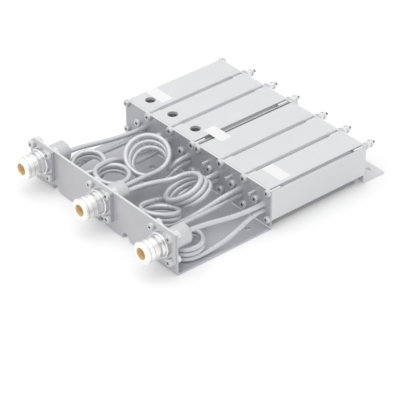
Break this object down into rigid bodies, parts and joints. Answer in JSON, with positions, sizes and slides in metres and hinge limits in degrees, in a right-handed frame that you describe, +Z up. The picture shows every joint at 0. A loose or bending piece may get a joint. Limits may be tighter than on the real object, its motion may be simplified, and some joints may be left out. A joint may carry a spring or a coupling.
{
  "type": "cavity duplexer",
  "caption": "Flat cavity filter unit: pale extruded resonator blocks on a folded tray, with coiled coaxial leads, tuning rods and threaded panel sockets.",
  "frame": {"origin": "middle of the bounding box at the level of the tray's underside", "axes": "+X across the unit, +Y from the front panel with its sockets to the tuning rods at the back, +Z up"},
  "size_m": [0.1526, 0.2068, 0.0321],
  "materials": {
    "tray_sheet": "bright rolled sheet",
    "block_metal": "pale satin extrusion",
    "screw_steel": "bright zinc plated",
    "bush_metal": "turned",
    "nut_zinc": "bright zinc plated",
    "ferrule_tin": "tinned",
    "loop_copper": "silvered copper wire",
    "insulator_plastic": "plain white",
    "contact_gold": "gold plated",
    "resonator_copper": "turned copper",
    "rod_metal": "turned",
    "trimmer_ceramic": "unglazed",
    "trimmer_brass": "turned",
    "connector_nickel": "bright nickel",
    "can_metal": "satin",
    "label_paper": "blank",
    "cable_braid": "tinned braid"
  },
  "bodies": {
    "duplexer": {"chassis_tray": "tray_sheet", "rear_plate": "tray_sheet", "cavity_block_left": "block_metal", "cavity_block_right": "block_metal", "front_wall_screws": "screw_steel", "resonator_screws": "screw_steel", "rear_plate_screws": "screw_steel", "tuning_bushes": "bush_metal", "lock_nuts": "nut_zinc", "cable_ferrules": "ferrule_tin", "coupling_loops": "loop_copper", "wire_posts": "ferrule_tin", "connector_insulators": "insulator_plastic", "connector_contacts": "contact_gold", "connector_screws": "screw_steel", "connector_nuts": "nut_zinc", "resonators": "resonator_copper", "connector_bodies": "connector_nickel", "rear_cans": "can_metal", "trimmer_body_1": "trimmer_ceramic", "label_1": "label_paper", "trimmer_body_2": "trimmer_ceramic", "label_2": "label_paper", "trimmer_body_3": "trimmer_ceramic", "label_3": "label_paper", "cable_can1_cavity1": "cable_braid", "cable_cavity1_cavity2": "cable_braid", "cable_cavity2_cavity3": "cable_braid", "cable_can2_cavity3": "cable_braid", "cable_can2_cavity4": "cable_braid", "cable_cavity5_cavity4": "cable_braid", "cable_cavity5_cavity6": "cable_braid", "cable_can3_cavity6": "cable_braid"},
    "tuning_rod_1_body": {"tuning_rod_1": "rod_metal"},
    "tuning_rod_2_body": {"tuning_rod_2": "rod_metal"},
    "tuning_rod_3_body": {"tuning_rod_3": "rod_metal"},
    "tuning_rod_4_body": {"tuning_rod_4": "rod_metal"},
    "tuning_rod_5_body": {"tuning_rod_5": "rod_metal"},
    "tuning_rod_6_body": {"tuning_rod_6": "rod_metal"},
    "trimmer_rotor_1_body": {"trimmer_rotor_1": "trimmer_brass"},
    "trimmer_rotor_2_body": {"trimmer_rotor_2": "trimmer_brass"},
    "trimmer_rotor_3_body": {"trimmer_rotor_3": "trimmer_brass"}
  },
  "joints": [
    {"name": "tuning_rod_1_slide", "type": "slide", "parent": "duplexer", "child": "tuning_rod_1_body", "axis": [0, 1, 0], "range_m": [-0.002, 0.008]},
    {"name": "tuning_rod_2_slide", "type": "slide", "parent": "duplexer", "child": "tuning_rod_2_body", "axis": [0, 1, 0], "range_m": [-0.002, 0.008]},
    {"name": "tuning_rod_3_slide", "type": "slide", "parent": "duplexer", "child": "tuning_rod_3_body", "axis": [0, 1, 0], "range_m": [-0.002, 0.008]},
    {"name": "tuning_rod_4_slide", "type": "slide", "parent": "duplexer", "child": "tuning_rod_4_body", "axis": [0, 1, 0], "range_m": [-0.002, 0.008]},
    {"name": "tuning_rod_5_slide", "type": "slide", "parent": "duplexer", "child": "tuning_rod_5_body", "axis": [0, 1, 0], "range_m": [-0.002, 0.008]},
    {"name": "tuning_rod_6_slide", "type": "slide", "parent": "duplexer", "child": "tuning_rod_6_body", "axis": [0, 1, 0], "range_m": [-0.002, 0.008]},
    {"name": "trimmer_rotor_1_turn", "type": "hinge", "parent": "duplexer", "child": "trimmer_rotor_1_body", "pos_m": [-0.0634, 0.0079, 0.026], "axis": [0, 0, 1], "continuous": true},
    {"name": "trimmer_rotor_2_turn", "type": "hinge", "parent": "duplexer", "child": "trimmer_rotor_2_body", "pos_m": [-0.039, 0.0079, 0.026], "axis": [0, 0, 1], "continuous": true},
    {"name": "trimmer_rotor_3_turn", "type": "hinge", "parent": "duplexer", "child": "trimmer_rotor_3_body", "pos_m": [-0.0146, 0.0079, 0.026], "axis": [0, 0, 1], "continuous": true}
  ]
}
